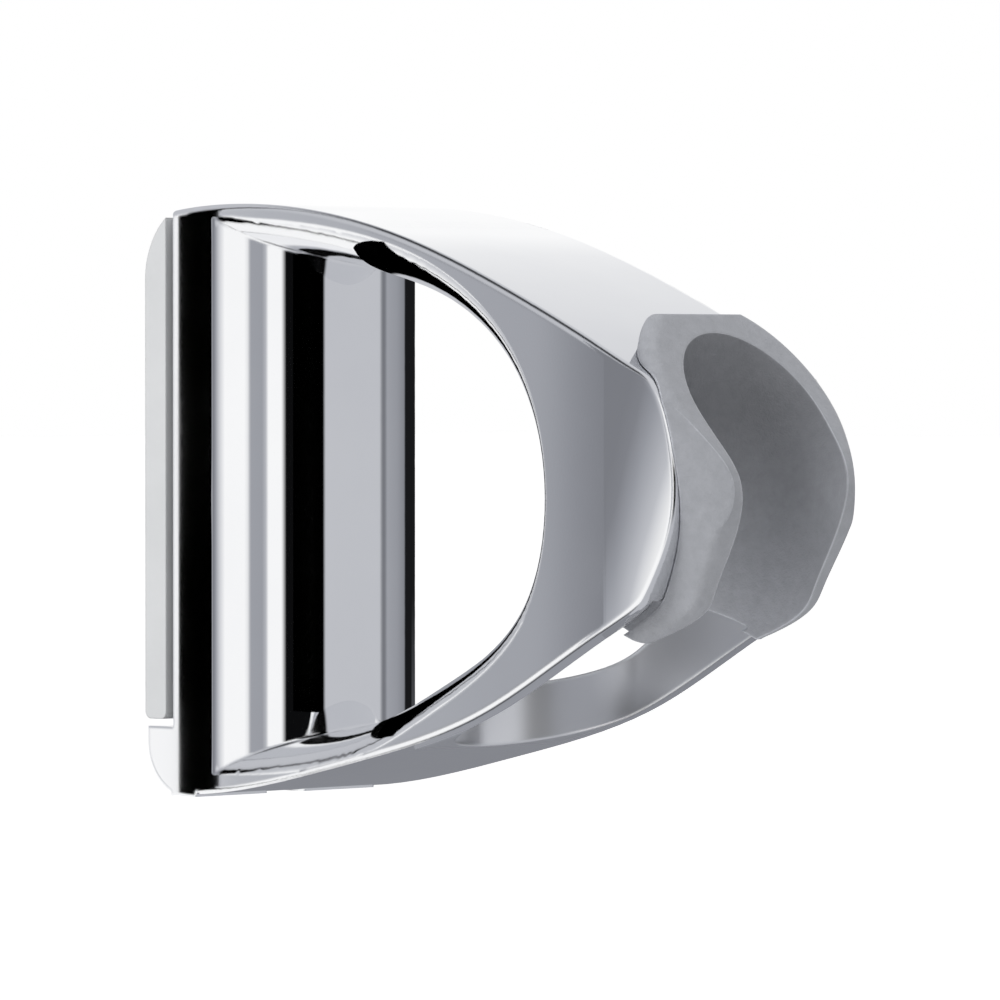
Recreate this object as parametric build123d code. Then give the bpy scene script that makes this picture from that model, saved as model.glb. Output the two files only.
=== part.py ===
from build123d import *
import math
import os

# Hand shower holder for a wall. Millimetres, +Z up, +X out from the wall, Y = 0 the mid plane.
# The origin lies on the wall face of the bracket, near half height.

# Casting: column and arch. Pairs give the distance from the wall, and that below the top
# or above the underside.
body_width = 34.0              # across the side faces of the arch, along Y
body_back = 5.4                # from the wall to the open back of the column
column_turn = 13.5             # from the wall to where the column's sides start to round
column_depth = 14.6            # from there to the front line of the column
column_wall = 2.6              # shell of the hollow column
top_height = 40.3              # top of the casting above the origin
bottom_depth = 41.2            # underside of the casting below the origin
end_wall = 4.2                 # wall that closes the column at its top and its underside
top_back = (5.4, 0.8)          # the top line where it starts, at the back
top_crest = (16.0, 0.0)        # its highest point
shoulder = (52.6, 5.4)         # the top line half way along the arch
slope = (74.1, 13.5)           # the top line further out
nose_top = (94.4, 22.9)        # where the top line turns down into the nose
nose_reach = 99.7              # from the wall to the tip of the nose
nose_tip_height = 3.2          # height of the tip
nose_bulge_high = (1.2, 7.8)   # behind and above the tip
nose_bulge_low = (0.9, 7.6)    # behind and below the tip
top_start = (1, 0.15)          # direction of the upper line where it leaves the column's back
nose_start = (1, -0.5)         # direction in which the upper line runs into the nose
nose_end = (-1, -0.5)          # direction in which the nose runs into the lower line
underside_end = (-1, -0.05)    # direction of the lower line at the column's back
nose_low = (96.0, 30.3)        # the nose, further down
nose_foot = (88.4, 24.6)       # where the nose runs into the lower line
lower_slope = (65.9, 12.9)     # the lower line half way along the arch
lower_shoulder = (40.0, 5.5)   # the lower line nearer the wall
lower_crest = (14.0, 0.6)      # the lower line below the column
side_turn = 89.0               # from the wall to where the side faces start to turn in
side_turn_radius = 32.0        # radius of that turn, seen from above
back_edge_radius = 0.6         # rounding along the back edges of the casting
outer_edge_radius = 0.7        # rounding along the outer edges of the arch

# Lip of the casting below the wall plate
lip_reach = 0.7                # from the wall to the back of the lip
lip_height = 9.5
lip_round = 7.4                # rounding of the lip's lower back corner
lip_overlap = 5.0              # the lip runs this far into the column

# Window of the arch: from the wall, distance to the top or the underside, and crown at mid width
window_upper = ((9.0, 1.9, 6.5), (27.0, 2.8, 6.5), (42.4, 4.9, 6.5), (58.2, 9.9, 6.0), (72.6, 21.7, 4.2))
window_lower = ((73.6, 26.2, 3.6), (57.5, 14.1, 5.0), (42.3, 7.1, 6.3), (27.0, 4.3, 6.5), (9.0, 3.4, 6.5))
window_tip = (77.9, 2.0, 2.2)  # from the wall, height, and crown
window_middle = (45.0, 1.0)    # the crown points towards this place
window_flare = 0.13            # the window opens by this share of its crown at both side faces
window_flare_depth = 0.05      # share of the half width over which it opens
window_shoulder = 0.8          # share of the half width where the crown's side is set

# Seat of the hose cone: it leans forward at its top
seat_lean = 22.0               # degrees from the vertical
seat_setback = 3.8             # the axis lies this much behind the nose's tip, level with the origin
seat_radius_top = 12.0         # cone at the upper end of the seat
seat_radius_bottom = 10.2      # cone at the lower end of the seat
seat_top = 24.0                # upper end of the seat, along its axis
seat_bottom = 18.0             # lower end of the seat, along its axis below the origin
seat_open = 16.0               # the sides of the seat run this far ahead of the axis
lip_bow = 38.0                 # radius of the sides beside the hose slot, seen along the axis

# Liner
liner_wall = 2.2               # sleeve of the liner inside the casting
liner_fit = 0.12               # clearance between the liner and the casting
collar_wall = 5.0              # wall of the liner's collar at its top, above the casting
collar_setback = 2.3           # the collar lies this much behind the seat's axis
collar_height = 24.9           # level top of the collar
rim_start = 16.6               # behind the front of the lips, where the rim starts to slope down
rim_slope = 50.5               # degrees that the rim slopes down towards the front
rim_end = 3.6                  # behind the front of the lips, where the rim turns down into them
liner_back = 36.8              # the liner's side outline starts this far behind their front
lips_ahead = 7.1               # the front of the lips stands this far ahead of the nose's tip
liner_tip_height = 2.9         # height of the lips' foremost point
liner_chin = (4.9, -10.4)      # lower on the lips: behind their front, and height
liner_foot = (14.8, -17.6)     # the end of the lips, at the foot: behind their front, and height
foot_drop = 8.0                # slant of the liner's lower edge, towards the back
rim_radius = 1.8               # rounding of the collar's outer edge
rim_edge_least = 0.3           # rim edges span at least this much across the width
side_room = 0.5                # the collar's front clears the turned-in sides by this
liner_foot_slope = (-1, -0.35) # direction in which the lips end at their foot

# Hose slot in the lower arm
slot_side_wall = 2.6           # the arms beside the slot
slot_centre_reach = 64.4       # from the wall to the centre of the slot's round end
slot_roof = -12.5              # the slot reaches up to this height, at the socket's back wall

# Wall bracket: plastic plate with a dovetail tongue
plate_thickness = 4.2
plate_inset = 0.1              # the plate is this much narrower than the casting, each side
plate_gap = 1.0                # between the lower end of the plate and the casting's lip
plate_top_drop = 1.7           # upper end of the plate below the top of the casting
plate_top_curve = 8.0          # height of the rounded upper end
plate_bend = (1.3, 3.4)        # point on that curve: from the wall, below its top
plate_edge_radius = 1.1
tongue_depth = 8.0             # how far the tongue stands out of the plate
tongue_root = 7.6              # half width of the tongue at the plate
tongue_face = 10.0             # half width of the tongue at its face
tongue_lift = 0.6              # the tongue starts this much above the lower end of the plate
tongue_headroom = 4.1          # between the upper end of the tongue and the casting's end wall
tongue_fit = 0.15              # clearance between the tongue and the casting's rails
rail_depth = 5.6               # depth of the rails inside the column
channel_half_width = 5.6       # channel in the tongue for the heads of the wall screws
channel_floor = 6.4            # from the wall to the floor of the channel
wall_hole_radius = 2.25
wall_hole_spacing = 40.0
wall_hole_middle = 6.0         # height of the middle between the two holes
countersink_radius = 4.3
boss_height = 9.0              # solid lower end of the tongue, which takes the fixing screw

# Fixing screw, from below through the casting into the tongue
screw_reach = 9.6              # from the wall to the screw's axis
screw_radius = 2.0
screw_head_radius = 3.6
screw_head_height = 2.4
screw_key_size = 2.5           # across the flats of the hexagon socket
screw_key_depth = 1.6
screw_length = 15.0            # under the head
screw_point = 0.5              # chamfer at the end of the shank
screw_recess = 1.2             # the head lies this deep in the underside
screw_fit = 0.1
screw_end_room = 0.5           # the pilot hole is this much deeper than the screw

half_width = body_width / 2
seat_axis_reach = nose_reach - seat_setback
liner_reach = nose_reach + lips_ahead
lip_top = lip_height - bottom_depth
plate_low = lip_top + plate_gap
plate_high = top_height - plate_top_drop
tongue_low = plate_low + tongue_lift
tongue_high = top_height - end_wall - tongue_headroom
slot_half_width = half_width - slot_side_wall
same_place = 0.02              # two places closer than this count as one
past = 200.0                   # cutting forms run this far, past everything
over = 12.0                    # the seat's forms run this far past their ends


def below_top(point):
    return (point[0], top_height - point[1])


def above_underside(point):
    return (point[0], point[1] - bottom_depth)


def seat_plane(height):
    """Plane square to the seat's axis; x points forward, z up along the axis."""
    lean = math.radians(seat_lean)
    ahead = Vector(math.cos(lean), 0, -math.sin(lean))
    along = Vector(math.sin(lean), 0, math.cos(lean))
    base = Vector(seat_axis_reach, 0, 0) + along * height
    return Plane(origin=base, x_dir=ahead, z_dir=along)


def seat_radius(height):
    """Radius of the cone at a height along the axis."""
    taper = (seat_radius_top - seat_radius_bottom) / (seat_top + seat_bottom)
    return seat_radius_bottom + taper * (height + seat_bottom)


def seat_section(height, wall):
    """Round back with two bowed lips in front, the wall's thickness outside the seat."""
    back = seat_radius(height) + wall
    bow = lip_bow + wall
    turn = math.asin(seat_open / bow)
    ahead = bow * math.sin(turn)
    side = back - bow * (1 - math.cos(turn))
    mid_ahead = bow * math.sin(turn / 2)
    mid_side = back - bow * (1 - math.cos(turn / 2))
    outline = [
        ThreePointArc((0, -back), (-back, 0), (0, back)),
        ThreePointArc((0, back), (mid_ahead, mid_side), (ahead, side)),
        Line((ahead, side), (ahead, -side)),
        ThreePointArc((ahead, -side), (mid_ahead, -mid_side), (0, -back)),
    ]
    return seat_plane(height) * make_face(outline)


def seat_solid(wall, low, high, top_wall=None):
    """Solid with the seat's form; its wall may grow from the low end to the high end."""
    high_wall = wall if top_wall is None else top_wall
    return loft([seat_section(low, wall), seat_section(high, high_wall)], ruled=True)


def side_prism(edges, half=half_width):
    """Solid across the width from an outline drawn in the mid plane."""
    face = Plane.XZ * make_face(edges)
    return extrude(face, half, both=True)


def plan_form(reach):
    """The widths of the holder seen from above: parallel sides that turn in at the nose."""
    run = reach - side_turn
    turn = math.asin(run / side_turn_radius)
    drop = side_turn_radius * (1 - math.cos(turn))
    mid_run = side_turn_radius * math.sin(turn / 2)
    mid_drop = side_turn_radius * (1 - math.cos(turn / 2))
    side = half_width
    outline = [
        Line((0, -side), (0, side)),
        Line((0, side), (side_turn, side)),
        ThreePointArc((side_turn, side), (side_turn + mid_run, side - mid_drop), (reach, side - drop)),
        Line((reach, side - drop), (reach, drop - side)),
        ThreePointArc((reach, drop - side), (side_turn + mid_run, mid_drop - side), (side_turn, -side)),
        Line((side_turn, -side), (0, -side)),
    ]
    return extrude(make_face(outline), past, both=True)


def body_outline(grow=0.0):
    """Side view of the casting, from the back of the column round the nose."""
    back_top = below_top(top_back)
    back_low = (body_back, -bottom_depth)
    tip = (nose_reach + grow, nose_tip_height)
    high = (tip[0] - nose_bulge_high[0], tip[1] + nose_bulge_high[1])
    under = (tip[0] - nose_bulge_low[0], tip[1] - nose_bulge_low[1])
    turn = below_top((nose_top[0] + grow / 2, nose_top[1] - grow))
    low = above_underside((nose_low[0] + grow, nose_low[1] - grow / 2))
    foot = above_underside((nose_foot[0] + grow / 2, nose_foot[1] - grow))
    top_points = [back_top, below_top(top_crest), below_top(shoulder), below_top(slope), turn]
    low_points = [foot] + [above_underside(point) for point in (lower_slope, lower_shoulder, lower_crest)]
    return [
        Spline(top_points, tangents=[top_start, nose_start]),
        Spline([turn, high, tip, under, low, foot], tangents=[nose_start, nose_end]),
        Spline(low_points + [back_low], tangents=[nose_end, underside_end]),
        Line(back_low, back_top),
    ]


def window_section(place, share):
    """Window outline at one place across the width; its points move inwards by a share of the crown."""

    def inwards(reach, height, crown):
        away = Vector(window_middle[0] - reach, window_middle[1] - height)
        step = away.normalized() * (crown * share)
        return (reach + step.X, height + step.Y)

    points = [inwards(reach, top_height - drop, crown) for reach, drop, crown in window_upper]
    points.append(inwards(*window_tip))
    points += [inwards(reach, rise - bottom_depth, crown) for reach, rise, crown in window_lower]
    outline = [Spline(points), Line(points[-1], points[0])]
    return Pos(0, place, 0) * (Plane.XZ * make_face(outline))


def window_solid():
    """The window's crown follows a half ellipse across the width, and flares at the side faces."""
    near = [window_shoulder, 1.0 - window_flare_depth, 1.0]
    places = [-place for place in reversed(near)] + [0.0] + near
    sections = []
    for place in places:
        share = math.sqrt(1.0 - place * place) if abs(place) < 1.0 else -window_flare
        sections.append(window_section(place * half_width, share))
    return loft(sections)


def column_form(wall):
    """Column seen from above, set in by the wall: straight sides and an elliptical front."""
    side = half_width - wall
    front = Pos(column_turn, 0) * Ellipse(column_depth - wall, side)
    sides = Pos(0, -side) * Rectangle(column_turn, 2 * side, align=(Align.MIN, Align.MIN))
    return front + sides


def tongue_form(grow):
    """Dovetail seen from above, widening away from the wall."""
    slant = (tongue_face - tongue_root) / tongue_depth
    start = plate_thickness / 2
    root = tongue_root + slant * (start - plate_thickness) + grow
    end = plate_thickness + tongue_depth + grow
    face = tongue_face + grow + slant * grow
    return make_face(Polyline((start, -root), (end, -face), (end, face), (start, root), (start, -root)))


def bottom_lip():
    """Lip of the casting below the wall plate, rounded at its lower back corner."""
    lip_front = body_back + lip_overlap
    round_end = lip_reach + lip_round
    inset = lip_round * (1 - math.sqrt(0.5))
    outline = [
        Line((round_end, -bottom_depth), (lip_front, -bottom_depth)),
        Line((lip_front, -bottom_depth), (lip_front, lip_top)),
        Line((lip_front, lip_top), (lip_reach, lip_top)),
        Line((lip_reach, lip_top), (lip_reach, lip_round - bottom_depth)),
        ThreePointArc(
            (lip_reach, lip_round - bottom_depth),
            (lip_reach + inset, inset - bottom_depth),
            (round_end, -bottom_depth),
        ),
    ]
    return side_prism(outline)


def ahead_of(reach):
    """All that lies further from the wall than the reach."""
    return Pos(reach, 0, 0) * Box(past, past, past, align=(Align.MIN, Align.CENTER, Align.CENTER))


def column_cavity():
    """Hollow of the column, open towards the wall, less the two rails that grip the tongue."""
    low = end_wall - bottom_depth
    high = top_height - end_wall
    cavity = Pos(0, 0, low) * extrude(column_form(column_wall), high - low)
    rails = Pos(body_back, 0, plate_low) * Box(
        rail_depth, body_width, tongue_high - plate_low, align=(Align.MIN, Align.CENTER, Align.MIN)
    )
    rails = rails - extrude(tongue_form(tongue_fit), past, both=True)
    return (cavity & ahead_of(body_back)) - rails


def slot_solid():
    """Round-ended slot for the hose, through the lower arm."""
    half = slot_half_width
    centre = slot_centre_reach
    plan = [
        ThreePointArc((centre, -half), (centre - half, 0), (centre, half)),
        Line((centre, half), (past, half)),
        Line((past, half), (past, -half)),
        Line((past, -half), (centre, -half)),
    ]
    return Pos(0, 0, -past) * extrude(make_face(plan), past + slot_roof)


def side_edges(solid, part):
    """Edges in the two flat sides that belong to the outer outline or the back."""
    found = []
    for edge in solid.edges():
        box = edge.bounding_box()
        if box.size.Y > same_place or abs(abs(box.min.Y) - half_width) > same_place:
            continue
        at_back = box.max.X < body_back + same_place
        long = box.size.X > nose_reach / 2
        if part == "outside" and long and box.size.Z < top_height:
            found.append(edge)
        if part == "back" and at_back and box.size.Z > top_height:
            found.append(edge)
    return found


def make_body():
    column = extrude(column_form(0), past, both=True) & side_prism(body_outline())
    body = (side_prism(body_outline()) - window_solid()) + column
    body = body & plan_form(nose_reach + 1)
    body = body + bottom_lip()
    body = body - column_cavity()
    body = body - seat_solid(liner_wall + liner_fit, -seat_bottom - over, seat_top + over)
    body = body - slot_solid()

    way = extrude(Circle(screw_radius + screw_fit), end_wall + over)
    way += extrude(Circle(screw_head_radius + screw_fit), screw_recess + screw_head_height, both=True)
    body = (body - Pos(screw_reach, 0, -bottom_depth) * way).solids()[0]

    body = body.fillet(outer_edge_radius, side_edges(body, "outside"))
    return body.fillet(back_edge_radius, side_edges(body, "back"))


def liner_outline():
    """Side view of the liner: level top, sloping rim, bowed lips."""
    fall = math.tan(math.radians(rim_slope))
    rim_high = (liner_reach - rim_start, collar_height)
    rim_low = (liner_reach - rim_end, collar_height - (rim_start - rim_end) * fall)
    tip = (liner_reach, liner_tip_height)
    chin = (liner_reach - liner_chin[0], liner_chin[1])
    foot = (liner_reach - liner_foot[0], liner_foot[1])
    high_back = (liner_reach - liner_back, collar_height)
    low_back = (high_back[0], foot[1] - foot_drop)
    return [
        Line(low_back, high_back),
        Line(high_back, rim_high),
        Line(rim_high, rim_low),
        Spline([rim_low, tip, chin, foot], tangents=[(1, -fall), liner_foot_slope]),
        Line(foot, low_back),
    ]


def make_collar(outline):
    """Form of the liner's collar with its outer edges rounded, still without the bore."""
    form = Pos(-collar_setback, 0, 0) * seat_solid(liner_wall, -seat_bottom, seat_top, collar_wall)
    form = (form & outline).solids()[0]
    rim = []
    for edge in form.edges():
        box = edge.bounding_box()
        curved = edge.geom_type in (GeomType.ELLIPSE, GeomType.BSPLINE)
        if curved and box.max.Z > 0 and box.size.Y > rim_edge_least:
            rim.append(edge)
    return form.fillet(rim_radius, rim) & plan_form(liner_reach + side_room)


def make_liner():
    """Collar above and ahead of the casting, and a sleeve of even wall inside it."""
    outline = side_prism(liner_outline(), past)
    casting = side_prism(body_outline(liner_fit), past)
    sleeve = seat_solid(liner_wall, -seat_bottom, seat_top + over) & outline & casting
    bore = seat_solid(0, -seat_bottom - over, seat_top + over)
    return ((make_collar(outline) - casting) + sleeve - bore).solids()[0]


def make_bracket():
    plate_half = half_width - plate_inset
    curve_low = (0, plate_high - plate_top_curve)
    curve_middle = (plate_bend[0], plate_high - plate_bend[1])
    shape = [
        Line((0, plate_low), curve_low),
        ThreePointArc(curve_low, curve_middle, (plate_thickness, plate_high)),
        Line((plate_thickness, plate_high), (plate_thickness, plate_low)),
        Line((plate_thickness, plate_low), (0, plate_low)),
    ]
    bracket = side_prism(shape, plate_half)
    bracket = fillet(bracket.edges().filter_by(Axis.Y).sort_by(Axis.Z)[:2], plate_edge_radius)

    tongue = Pos(0, 0, tongue_low) * extrude(tongue_form(0), tongue_high - tongue_low)
    channel = Pos(channel_floor, 0, tongue_low + boss_height) * Box(
        past, 2 * channel_half_width, past, align=(Align.MIN, Align.CENTER, Align.MIN)
    )
    bracket = bracket + (tongue - channel)

    flare = countersink_radius - wall_hole_radius
    for side in (-1, 1):
        height = wall_hole_middle + side * wall_hole_spacing / 2
        hole = Pos(-1, 0, height) * (Rot(0, 90, 0) * extrude(Circle(wall_hole_radius), past))
        sink = Pos(channel_floor - flare / 2, 0, height) * (
            Rot(0, 90, 0) * Cone(wall_hole_radius, countersink_radius, flare)
        )
        bracket = bracket - hole - sink

    screw_end = screw_recess + screw_head_height + screw_length - bottom_depth
    pilot = extrude(Circle(screw_radius + screw_fit / 2), screw_end + screw_end_room - tongue_low + 1)
    return bracket - Pos(screw_reach, 0, tongue_low - 1) * pilot


def make_screw():
    head = extrude(Circle(screw_head_radius), screw_head_height)
    shank = Pos(0, 0, screw_head_height) * extrude(Circle(screw_radius), screw_length)
    key = extrude(RegularPolygon(screw_key_size / 2, 6, major_radius=False), screw_key_depth)
    screw = head + shank - key
    screw = chamfer(screw.edges().group_by(Axis.Z)[-1], screw_point)
    return Pos(screw_reach, 0, screw_recess - bottom_depth) * screw


os.makedirs("parts", exist_ok=True)
pieces = {
    "body": make_body(),
    "socket_liner": make_liner(),
    "wall_bracket": make_bracket(),
    "fixing_screw": make_screw(),
}
for name, piece in pieces.items():
    export_step(piece, f"parts/{name}.step")
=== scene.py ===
import bpy
import math
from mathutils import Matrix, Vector

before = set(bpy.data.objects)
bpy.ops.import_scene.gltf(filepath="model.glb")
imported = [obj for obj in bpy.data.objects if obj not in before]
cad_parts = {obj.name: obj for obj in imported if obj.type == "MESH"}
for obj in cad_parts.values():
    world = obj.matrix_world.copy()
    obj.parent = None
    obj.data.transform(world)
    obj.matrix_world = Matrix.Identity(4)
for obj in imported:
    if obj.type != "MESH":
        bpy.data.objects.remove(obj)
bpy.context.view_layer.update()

# Hand shower holder: a chrome casting on a pale plastic wall bracket, with a grey socket liner.
# Metres, in the frame of the CAD model.

# The casting
COLUMN_TURN = 0.0135               # from the wall to where the column's sides start to round
COLUMN_DEPTH = 0.0146              # from there to the front line of the column
HALF_WIDTH = 0.017                 # of the column
SIDES_END = 0.0891                 # from the wall to where the flat sides of the arm end
ELLIPSE_MARGIN = 0.004             # share of the ellipse by which a point may miss it
SIDE_MARGIN = 0.000004             # the same for a flat side, in metres
UPRIGHT_MARGIN = 0.03              # an upright face's normal leans less than this
TURNED_MARGIN = 0.1                # a side face's normal turns to the front or back less than this
SLOT_HALF = 0.01447                # the slot's inner walls lie this far from the mid plane, or less
SLOT_START = 0.0497                # from the wall
SLOT_TOP = -0.0122
SLOT_ROUGHNESS = 0.32
CORNER_TILT = 0.25                 # the window's corners face up or down by this much, or more
CORNER_HEIGHT = 0.0378
CORNER_REACH = 0.046
CORNER_ROUGHNESS = 0.12

# The liner
SEAT_MIDDLE = (0.0959, 0.0, 0.0)   # where the leaning axis of the socket crosses the level of the origin
SEAT_AXIS = (0.374607, 0.0, 0.927184)
# The bore gets painted shade, darker higher up and paler at its foot, and the liner's edges a painted
# highlight
BORE_FACING = -0.4                 # the bore's normal points to the axis by this much, or more
BORE_MARGIN = 0.2                  # and is square to the axis to within this
BORE_SHADE_HEIGHTS = (-0.015, 0.012)
BORE_SHADE_TONES = (1.25, 0.58)          # painted shade, darker higher up and paler at the foot: times the plain colour, at those heights
EDGE_BEND = (0.95, 0.8)            # cosine of the angle by which an edge turns the softened normal
EDGE_HIGHLIGHT_TONES = (1.0, 1.8)            # painted highlight on edges: times the plain colour, at those angles

# The view
AIM = Vector((0.0526, 0.0, 0.0))   # the middle of the picture
CAMERA_TURN = 45.0                 # degrees round from the near side towards the front
CAMERA_RISE = 1.0                  # degrees above level
CAMERA_DISTANCE = 1.0
LENS = 266.4                       # mm, as is the width of the sensor
SENSOR = 36.0
VIEW_REACH = 100.0                 # takes in the far edge of the floor

# The studio
FLOOR_HEIGHT = -0.35
FLOOR_SIZE = 60.0
FLOOR_GLOW = 0.5                   # to the camera only
PLAIN_LIGHT = 0.6                  # the room's brightness on plain surfaces
FLAG_TURN = -47.36                 # the way the column's flat side mirrors the camera
FLAG_EDGES = (0.0070, 0.0151)      # the flag darkens that side between these distances from the wall
FLAG_DISTANCE = 0.08
FLAG_HEIGHT = 0.3

# What polished metal sees round it: degrees from the near side towards the front, and brightness
ROOM_REACH = (-180.0, 180.0)
ROOM_BANDS = [
    (-180, 0.01), (-141, 0.01), (-138, 1.0), (-100, 1.0), (-60, 0.6), (-50, 0.55), (-42, 0.24),
    (-39, 0.34), (-33, 0.65), (-24, 1.0), (3, 1.0), (7, 0.85), (10.5, 0.37), (24, 0.36), (28, 0.5),
    (31, 1.0), (44.5, 1.0), (48.8, 0.004), (84, 0.004), (89.5, 0.56), (140.5, 0.56), (144, 0.2),
    (147, 0.2), (150, 0.37), (164, 0.33), (177, 0.25), (179.8, 0.01),
]
# The same, finer, for the part that the flat sides of the arch show
SIDE_REACH = (-50.0, -42.0)
SIDE_BANDS = [
    (-50, 1.0), (-47.42, 1.0), (-47.2, 0.5), (-46, 0.44), (-45, 0.39), (-44.7, 0.39), (-44.4, 0.28),
    (-44.1, 0.22), (-42, 0.24),
]
# The near side of the room, which has tones of its own overhead and underfoot
NEAR_SIDE = (-0.7071, -0.7071, 0.0)  # the way there, which is half towards the wall
NEAR_SIDE_START = (0.0, 0.2)         # how far a direction points there as those tones set in
# Overhead the room is white, and dark over the near side higher up; underfoot it is grey, and white there.
# Each has the heights, as the upward part of a direction, between which it sets in, and then for the far and
# for the near side two tones and the heights between which the first gives way to the second.
CEILING = ((0.05, 0.2), ((1.0, 0.62), (0.35, 0.62)), ((0.55, 0.05), (0.7, 0.86)))
GROUND = ((-0.08, -0.3), ((0.5, 0.5), (-0.5, -0.8)), ((1.0, 0.1), (-0.78, -0.9)))
# What the sloping underside shows
UNDERSIDE_TURN = -142.5            # degrees
UNDERSIDE_SPREAD = 20.0
UNDERSIDE_HEIGHTS = (-0.03, -0.1)
UNDERSIDE_TONE = 0.25


# Nodes

def add_node(tree, kind, inputs=None, **settings):
    """A node with its settings made, and its inputs linked to sockets or given values."""
    node = tree.nodes.new(kind)
    for key, value in settings.items():
        setattr(node, key, value)
    for key, value in (inputs or {}).items():
        if isinstance(value, bpy.types.NodeSocket):
            tree.links.new(value, node.inputs[key])
        else:
            node.inputs[key].default_value = value
    return node


def math_of(tree, operation, *terms):
    return add_node(tree, "ShaderNodeMath", dict(enumerate(terms)), operation=operation).outputs[0]


def vector_of(tree, operation, *terms):
    node = add_node(tree, "ShaderNodeVectorMath", dict(enumerate(terms)), operation=operation)
    return node.outputs["Value" if operation in ("LENGTH", "DOT_PRODUCT") else "Vector"]


def parts_of(tree, vector):
    return add_node(tree, "ShaderNodeSeparateXYZ", {"Vector": vector}).outputs


def mapped(tree, value, reach, results=(0.0, 1.0), kind="LINEAR"):
    """A value carried over from one range to another, and held at its ends."""
    inputs = {
        "Value": value, "From Min": reach[0], "From Max": reach[1],
        "To Min": results[0], "To Max": results[1],
    }
    return add_node(tree, "ShaderNodeMapRange", inputs, interpolation_type=kind).outputs["Result"]


def mixed(tree, kind, factor, first, second):
    inputs = {"Factor": factor, "A": first, "B": second}
    return add_node(tree, "ShaderNodeMix", inputs, data_type=kind).outputs["Result"]


def all_of(tree, *masks):
    """The masks multiplied: 1 where every one of them is 1, and 0 where any is 0."""
    result = masks[0]
    for mask in masks[1:]:
        result = math_of(tree, "MULTIPLY", result, mask)
    return result


def ramp_of(tree, value, stops):
    """Greys between stops, each a position and a brightness."""
    node = add_node(tree, "ShaderNodeValToRGB", {"Fac": value})
    elements = node.color_ramp.elements
    for number, (position, brightness) in enumerate(stops):
        stop = elements[number] if number < 2 else elements.new(position)
        stop.position = position
        stop.color = cool(brightness)
    return node.outputs["Color"]


def grey(value):
    return (value, value, value, 1.0)


def cool(value):
    """A grey with a slight blue cast, which fades towards white."""
    cast = min(max((0.9 - value) / 0.6, 0.0), 1.0)
    return (value * (1.0 - 0.03 * cast), value, value * (1.0 + 0.10 * cast), 1.0)


def new_group(name, inputs, outputs):
    """A node group with named sockets, and the sockets of its two ends."""
    group = bpy.data.node_groups.new(name, "ShaderNodeTree")
    for in_out, sockets in (("INPUT", inputs), ("OUTPUT", outputs)):
        for title, kind in sockets.items():
            group.interface.new_socket(name=title, in_out=in_out, socket_type="NodeSocket" + kind)
    return group, add_node(group, "NodeGroupInput").outputs, add_node(group, "NodeGroupOutput").inputs


def use_group(tree, group, inputs):
    return add_node(tree, "ShaderNodeGroup", inputs, node_tree=group).outputs


# Effects that the finishes use

def fine_texture():
    """Fine unevenness of a moulded or polished face: a mask from 0 to 1 and a height."""
    group, given, result = new_group(
        "fine_texture",
        {"Vector": "Vector", "Broad scale": "Float", "Fine scale": "Float"},
        {"Mask": "Float", "Height": "Float"},
    )
    for title, scale, detail, roughness in (
        ("Mask", "Broad scale", 4.0, 0.6),
        ("Height", "Fine scale", 3.0, 0.7),
    ):
        inputs = {"Vector": given["Vector"], "Scale": given[scale], "Detail": detail, "Roughness": roughness}
        noise = add_node(group, "ShaderNodeTexNoise", inputs)
        group.links.new(noise.outputs["Fac"], result[title])
    return group


def column_normal():
    """True normal of the elliptical front and the flat sides, whose facets would bend what they mirror."""
    group, given, result = new_group(
        "column_normal", {"Vector": "Vector", "Normal": "Vector"}, {"Result": "Vector"}
    )
    tilt = parts_of(group, given["Normal"])
    upright = math_of(group, "COMPARE", tilt["Z"], 0.0, UPRIGHT_MARGIN)
    # the front: the ellipse's normal, the same at any height
    radii = (COLUMN_DEPTH, HALF_WIDTH, 1e6)
    place = vector_of(group, "SUBTRACT", given["Vector"], (COLUMN_TURN, 0.0, 0.0))
    share = vector_of(group, "DIVIDE", place, radii)
    on_ellipse = math_of(group, "COMPARE", vector_of(group, "LENGTH", share), 1.0, ELLIPSE_MARGIN)
    ahead = math_of(group, "GREATER_THAN", parts_of(group, place)["X"], 0.0)
    slope = vector_of(group, "NORMALIZE", vector_of(group, "DIVIDE", share, radii))
    normal = mixed(group, "VECTOR", all_of(group, on_ellipse, ahead, upright), given["Normal"], slope)
    # the sides: square to the width
    where = parts_of(group, given["Vector"])
    on_side = math_of(group, "COMPARE", math_of(group, "ABSOLUTE", where["Y"]), HALF_WIDTH, SIDE_MARGIN)
    sideways = math_of(group, "COMPARE", tilt["X"], 0.0, TURNED_MARGIN)
    behind_end = math_of(group, "LESS_THAN", where["X"], SIDES_END)
    outward = add_node(group, "ShaderNodeCombineXYZ", {"Y": math_of(group, "SIGN", where["Y"])})
    on_flat = all_of(group, upright, on_side, sideways, behind_end)
    normal = mixed(group, "VECTOR", on_flat, normal, outward.outputs["Vector"])
    group.links.new(normal, result["Result"])
    return group


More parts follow.
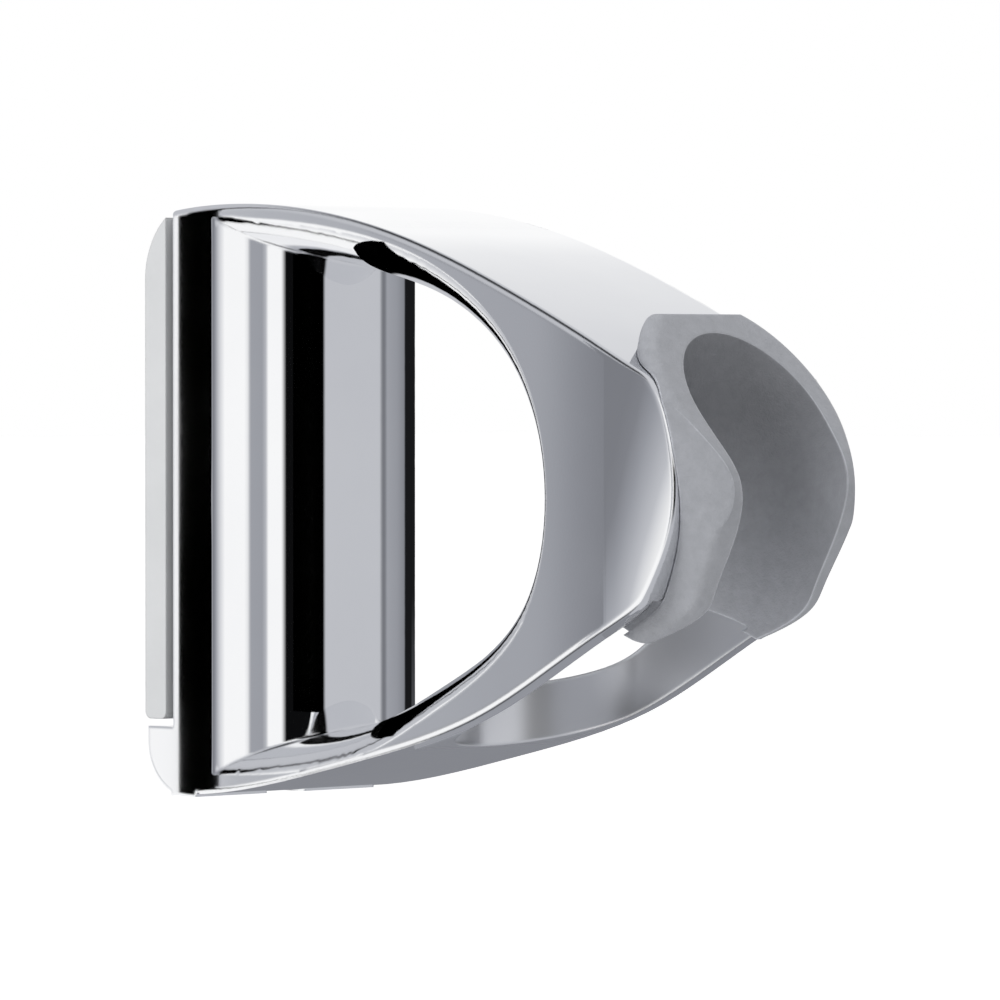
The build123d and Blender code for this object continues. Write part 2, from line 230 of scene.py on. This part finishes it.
def slot_satin():
    """The slot's inner walls are satin, and the window's corners less polished than the rest."""
    group, given, result = new_group(
        "slot_satin",
        {"Vector": "Vector", "Normal": "Vector", "Polished": "Float", "Satin": "Float"},
        {"Roughness": "Float"},
    )
    where = parts_of(group, given["Vector"])
    in_slot = all_of(
        group,
        math_of(group, "LESS_THAN", math_of(group, "ABSOLUTE", where["Y"]), SLOT_HALF),
        math_of(group, "GREATER_THAN", where["X"], SLOT_START),
        math_of(group, "LESS_THAN", where["Z"], SLOT_TOP),
    )
    rough = mixed(group, "FLOAT", in_slot, given["Polished"], given["Satin"])
    tilt = math_of(group, "ABSOLUTE", parts_of(group, given["Normal"])["Z"])
    in_corner = all_of(
        group,
        math_of(group, "GREATER_THAN", tilt, CORNER_TILT),
        math_of(group, "LESS_THAN", math_of(group, "ABSOLUTE", where["Z"]), CORNER_HEIGHT),
        math_of(group, "LESS_THAN", math_of(group, "ABSOLUTE", where["X"]), CORNER_REACH),
    )
    rough = math_of(group, "MAXIMUM", rough, math_of(group, "MULTIPLY", in_corner, CORNER_ROUGHNESS))
    group.links.new(rough, result["Roughness"])
    return group


def liner_painted_light():
    """Painted light on the liner: painted shade darkens the bore higher up and makes its foot paler, and its
    edges get a painted highlight.
    """
    group, given, result = new_group(
        "liner_painted_light",
        {"Color": "Color", "Vector": "Vector", "Hard normal": "Vector", "Soft normal": "Vector"},
        {"Result": "Color"},
    )
    hard = given["Hard normal"]
    place = vector_of(group, "SUBTRACT", given["Vector"], SEAT_MIDDLE)
    away = vector_of(group, "SUBTRACT", place, vector_of(group, "PROJECT", place, SEAT_AXIS))
    facing = vector_of(group, "DOT_PRODUCT", vector_of(group, "NORMALIZE", away), hard)
    in_bore = all_of(
        group,
        math_of(group, "LESS_THAN", facing, BORE_FACING),
        math_of(group, "COMPARE", vector_of(group, "DOT_PRODUCT", hard, SEAT_AXIS), 0.0, BORE_MARGIN),
    )
    # painted shade in the bore: darker higher up, paler at its foot
    bore_shade = mapped(group, parts_of(group, given["Vector"])["Z"], BORE_SHADE_HEIGHTS, BORE_SHADE_TONES)
    bore = mixed(group, "FLOAT", in_bore, 1.0, bore_shade)
    # painted highlight where an edge bends the softened normal
    bend = vector_of(group, "DOT_PRODUCT", given["Soft normal"], hard)
    tone = math_of(group, "MULTIPLY", bore, mapped(group, bend, EDGE_BEND, EDGE_HIGHLIGHT_TONES))
    inputs = {"Vector": given["Color"], "Scale": tone}
    scaled = add_node(group, "ShaderNodeVectorMath", inputs, operation="SCALE")
    group.links.new(scaled.outputs["Vector"], result["Result"])
    return group


FINE = fine_texture()
COLUMN = column_normal()
SATIN = slot_satin()
LINER_PAINTED_LIGHT = liner_painted_light()


# Materials

def finish_material(name, colours, roughness, scales, bump, metallic=0.0, soft_edge=0.0004, kind="plain"):
    """A finish with two tones of colour, two of roughness and a fine relief."""
    spread = (0.3, 0.7)
    material = bpy.data.materials.new(name)
    material.use_nodes = True
    tree = material.node_tree
    shader = tree.nodes["Principled BSDF"]
    shader.inputs["Metallic"].default_value = metallic
    place = add_node(tree, "ShaderNodeTexCoord").outputs
    point, face = place["Object"], place["Normal"]
    texture = use_group(tree, FINE, {"Vector": point, "Broad scale": scales[0], "Fine scale": scales[1]})
    tone = add_node(tree, "ShaderNodeValToRGB", {"Fac": texture["Mask"]})
    for stop, position, colour in zip(tone.color_ramp.elements, spread, colours):
        stop.position = position
        stop.color = (*colour, 1.0)
    colour = tone.outputs["Color"]
    rough = mapped(tree, texture["Mask"], spread, roughness)
    normal = add_node(tree, "ShaderNodeBevel", {"Radius": soft_edge}, samples=8).outputs["Normal"]
    if kind == "casting":
        normal = use_group(tree, COLUMN, {"Vector": point, "Normal": normal})["Result"]
        inputs = {"Vector": point, "Normal": face, "Polished": rough, "Satin": SLOT_ROUGHNESS}
        rough = use_group(tree, SATIN, inputs)["Roughness"]
    # painted shade in the bore and painted highlight on the liner's edges
    if kind == "liner":
        inputs = {"Color": colour, "Vector": point, "Hard normal": face, "Soft normal": normal}
        colour = use_group(tree, LINER_PAINTED_LIGHT, inputs)["Result"]
    inputs = {"Strength": bump[0], "Distance": bump[1], "Height": texture["Height"], "Normal": normal}
    relief = add_node(tree, "ShaderNodeBump", inputs)
    tree.links.new(colour, shader.inputs["Base Color"])
    tree.links.new(rough, shader.inputs["Roughness"])
    tree.links.new(relief.outputs["Normal"], shader.inputs["Normal"])
    return material


FINISHES = {
    "body": finish_material(
        "polished_chrome", ((0.90, 0.905, 0.92), (0.93, 0.935, 0.945)), roughness=(0.02, 0.04),
        scales=(45.0, 3000.0), bump=(0.002, 0.0001), metallic=1.0, soft_edge=0.0007, kind="casting",
    ),
    "socket_liner": finish_material(
        "grey_plastic", ((0.34, 0.35, 0.378), (0.39, 0.40, 0.432)), roughness=(0.36, 0.48),
        scales=(700.0, 2200.0), bump=(0.6, 0.0002), soft_edge=0.0007, kind="liner",
    ),
    "wall_bracket": finish_material(
        "light_plastic", ((0.66, 0.67, 0.68), (0.70, 0.71, 0.72)), roughness=(0.35, 0.45),
        scales=(90.0, 2400.0), bump=(0.15, 0.0001),
    ),
    "fixing_screw": finish_material(
        "screw_steel", ((0.55, 0.56, 0.57), (0.64, 0.65, 0.66)), roughness=(0.22, 0.38),
        scales=(250.0, 1800.0), bump=(0.2, 0.0001), metallic=1.0,
    ),
}
for name, finish in FINISHES.items():
    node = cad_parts[name]
    node.data.materials.clear()
    node.data.materials.append(finish)


# Studio

def band_ramp(tree, angle, bands, reach):
    """Brightness by the angle round the room, between two angles in degrees."""
    start, end = reach
    share = mapped(tree, angle, (math.radians(start), math.radians(end)))
    return ramp_of(tree, share, [((degrees - start) / (end - start), value) for degrees, value in bands])


def within(tree, angle, middle, spread):
    """1 where the angle is no further than the spread from the middle, both in degrees."""
    return math_of(tree, "COMPARE", angle, math.radians(middle), math.radians(spread))


def room_bands(tree, way):
    """The upright bands, the fine ones among the coarse, and the angle that they follow."""
    turn = math_of(tree, "ARCTAN2", way["X"], math_of(tree, "MULTIPLY", way["Y"], -1.0))
    coarse = band_ramp(tree, turn, ROOM_BANDS, ROOM_REACH)
    fine = band_ramp(tree, turn, SIDE_BANDS, SIDE_REACH)
    start, end = SIDE_REACH
    on_fine = within(tree, turn, (start + end) / 2, (end - start) / 2)
    return mixed(tree, "RGBA", on_fine, coarse, fine), turn


def with_end(tree, room, height, near_side, heights, far, near):
    """The room with its ceiling or its ground, of which the near side has tones of its own."""
    tones = []
    for (first, second), reach in (far, near):
        tones.append(mixed(tree, "RGBA", mapped(tree, height, reach), cool(first), cool(second)))
    tone = mixed(tree, "RGBA", near_side, *tones)
    return mixed(tree, "RGBA", mapped(tree, height, heights, kind="SMOOTHSTEP"), room, tone)


def room_light():
    """White to the camera, even to plain surfaces, and with dark and bright bands to polished ones."""
    world = bpy.data.worlds.new("studio")
    bpy.context.scene.world = world
    world.use_nodes = True
    tree = world.node_tree
    direction = add_node(tree, "ShaderNodeTexCoord").outputs["Generated"]
    way = parts_of(tree, direction)
    room, turn = room_bands(tree, way)
    near_side = mapped(tree, vector_of(tree, "DOT_PRODUCT", direction, NEAR_SIDE), NEAR_SIDE_START)
    for end in (CEILING, GROUND):
        room = with_end(tree, room, way["Z"], near_side, *end)
    behind = within(tree, turn, UNDERSIDE_TURN, UNDERSIDE_SPREAD)
    below = mapped(tree, way["Z"], UNDERSIDE_HEIGHTS)
    room = mixed(tree, "RGBA", all_of(tree, behind, below), room, cool(UNDERSIDE_TONE))
    path = add_node(tree, "ShaderNodeLightPath").outputs
    for_metal = mixed(tree, "RGBA", path["Is Glossy Ray"], grey(PLAIN_LIGHT), room)
    for_camera = mixed(tree, "RGBA", path["Is Camera Ray"], for_metal, grey(1.0))
    tree.links.new(for_camera, tree.nodes["Background"].inputs["Color"])


def floor_finish():
    """Pale floor that keeps the shadow and reads white to the camera."""
    material = bpy.data.materials.new("pale_floor")
    material.use_nodes = True
    tree = material.node_tree
    shader = tree.nodes["Principled BSDF"]
    shader.inputs["Base Color"].default_value = grey(0.92)
    shader.inputs["Roughness"].default_value = 0.8
    shader.inputs["Emission Color"].default_value = grey(1.0)
    path = add_node(tree, "ShaderNodeLightPath").outputs
    glow = math_of(tree, "MULTIPLY", path["Is Camera Ray"], FLOOR_GLOW)
    tree.links.new(glow, shader.inputs["Emission Strength"])
    return material


def make_floor():
    bpy.ops.object.select_all(action="DESELECT")
    bpy.ops.mesh.primitive_plane_add(size=FLOOR_SIZE, location=(0.0, 0.0, FLOOR_HEIGHT))
    floor = bpy.context.active_object
    floor.name = "floor"
    floor.data.materials.append(floor_finish())
    floor.visible_glossy = False


def soft_lamp(name, place, size, power):
    """A square soft lamp, turned to the middle of the picture, that polished metal doesn't show."""
    data = bpy.data.lights.new(name, "AREA")
    data.size = size
    data.energy = power
    lamp = bpy.data.objects.new(name, data)
    bpy.context.scene.collection.objects.link(lamp)
    lamp.location = place
    lamp.rotation_euler = (AIM - Vector(place)).to_track_quat("-Z", "Y").to_euler()
    lamp.visible_glossy = False


def card_finish(name, width, tones, slant):
    """Glow whose tones run across the card, or aslant."""
    material = bpy.data.materials.new(name)
    material.use_nodes = True
    tree = material.node_tree
    shader = tree.nodes["Principled BSDF"]
    shader.inputs["Base Color"].default_value = grey(0.0)
    shader.inputs["Specular IOR Level"].default_value = 0.0
    shader.inputs["Emission Strength"].default_value = 1.0
    point = parts_of(tree, add_node(tree, "ShaderNodeTexCoord").outputs["Object"])
    aslant = math_of(tree, "MULTIPLY_ADD", point["Y"], -slant, point["X"])
    share = mapped(tree, aslant, (-width / 2, width / 2))
    tree.links.new(ramp_of(tree, share, tones), shader.inputs["Emission Color"])
    return material


def make_card(name, size, place, tones, turn=0.0, slant=0.0):
    """Upright card that only polished metal sees."""
    bpy.ops.object.select_all(action="DESELECT")
    bpy.ops.mesh.primitive_plane_add(size=1.0)
    card = bpy.context.active_object
    card.name = name
    bpy.ops.object.mode_set(mode="EDIT")
    bpy.ops.mesh.select_all(action="SELECT")
    bpy.ops.transform.resize(value=(size[0], size[1], 1.0))
    bpy.ops.object.mode_set(mode="OBJECT")
    card.location = place
    card.rotation_euler = (math.radians(90.0), 0.0, math.radians(turn))
    card.data.materials.append(card_finish(name, size[0], tones, slant))
    for way in ("camera", "diffuse", "transmission", "shadow", "volume_scatter"):
        setattr(card, "visible_" + way, False)


def make_flag():
    """Black strip beside the wall: it darkens the flat side of the column."""
    turn = math.radians(FLAG_TURN)
    away = Vector((math.sin(turn), -math.cos(turn), 0.0)) * FLAG_DISTANCE
    middle = Vector((sum(FLAG_EDGES) / 2, -HALF_WIDTH, 0.0)) + away
    spread = 1.0 + FLAG_DISTANCE / CAMERA_DISTANCE
    width = (FLAG_EDGES[1] - FLAG_EDGES[0]) * math.cos(turn) * spread
    make_card("flag", (width, FLAG_HEIGHT), middle, [(0.0, 0.0), (1.0, 0.0)], turn=FLAG_TURN)


def make_camera():
    turn = math.radians(CAMERA_TURN)
    rise = math.radians(CAMERA_RISE)
    out = Vector((math.sin(turn) * math.cos(rise), -math.cos(turn) * math.cos(rise), math.sin(rise)))
    data = bpy.data.cameras.new("camera")
    data.lens = LENS
    data.sensor_width = SENSOR
    data.clip_end = VIEW_REACH
    camera = bpy.data.objects.new("camera", data)
    bpy.context.scene.collection.objects.link(camera)
    camera.location = AIM + out * CAMERA_DISTANCE
    camera.rotation_euler = (-out).to_track_quat("-Z", "Y").to_euler()
    bpy.context.scene.camera = camera


bpy.context.scene.view_settings.view_transform = "Standard"
room_light()
make_floor()
make_flag()
make_card(
    "window_card", size=(0.037, 0.064), place=(0.041, -0.0044, 0.002), turn=90.0,
    tones=[(0.0, 0.0), (0.363, 0.0), (0.39, 0.56), (1.0, 0.56)],
)
make_card(
    "slot_card", size=(0.036, 0.029), place=(0.068, -0.0135, -0.0285),
    tones=[(0.0, 0.34), (1.0, 0.3)],
)
make_card(
    "slot_shade", size=(0.0065, 0.0155), place=(0.0551, 0.0005, -0.03475),
    tones=[(0.0, 0.0), (0.55, 0.0), (1.0, 0.3)],
)
make_card(
    "nose_card", size=(0.026, 0.06), place=(0.089, -0.030, 0.0), slant=0.6,
    tones=[
        (0.0, 0.22), (0.17, 0.24), (0.35, 0.33), (0.5, 0.43),
        (0.65, 0.55), (0.72, 0.7), (0.8, 0.86), (0.91, 1.0),
    ],
)
soft_lamp("key", (-0.2, -1.2, 0.9), size=0.6, power=9.0)
soft_lamp("top", (0.1, 0.1, 1.2), size=1.0, power=4.0)
make_camera()
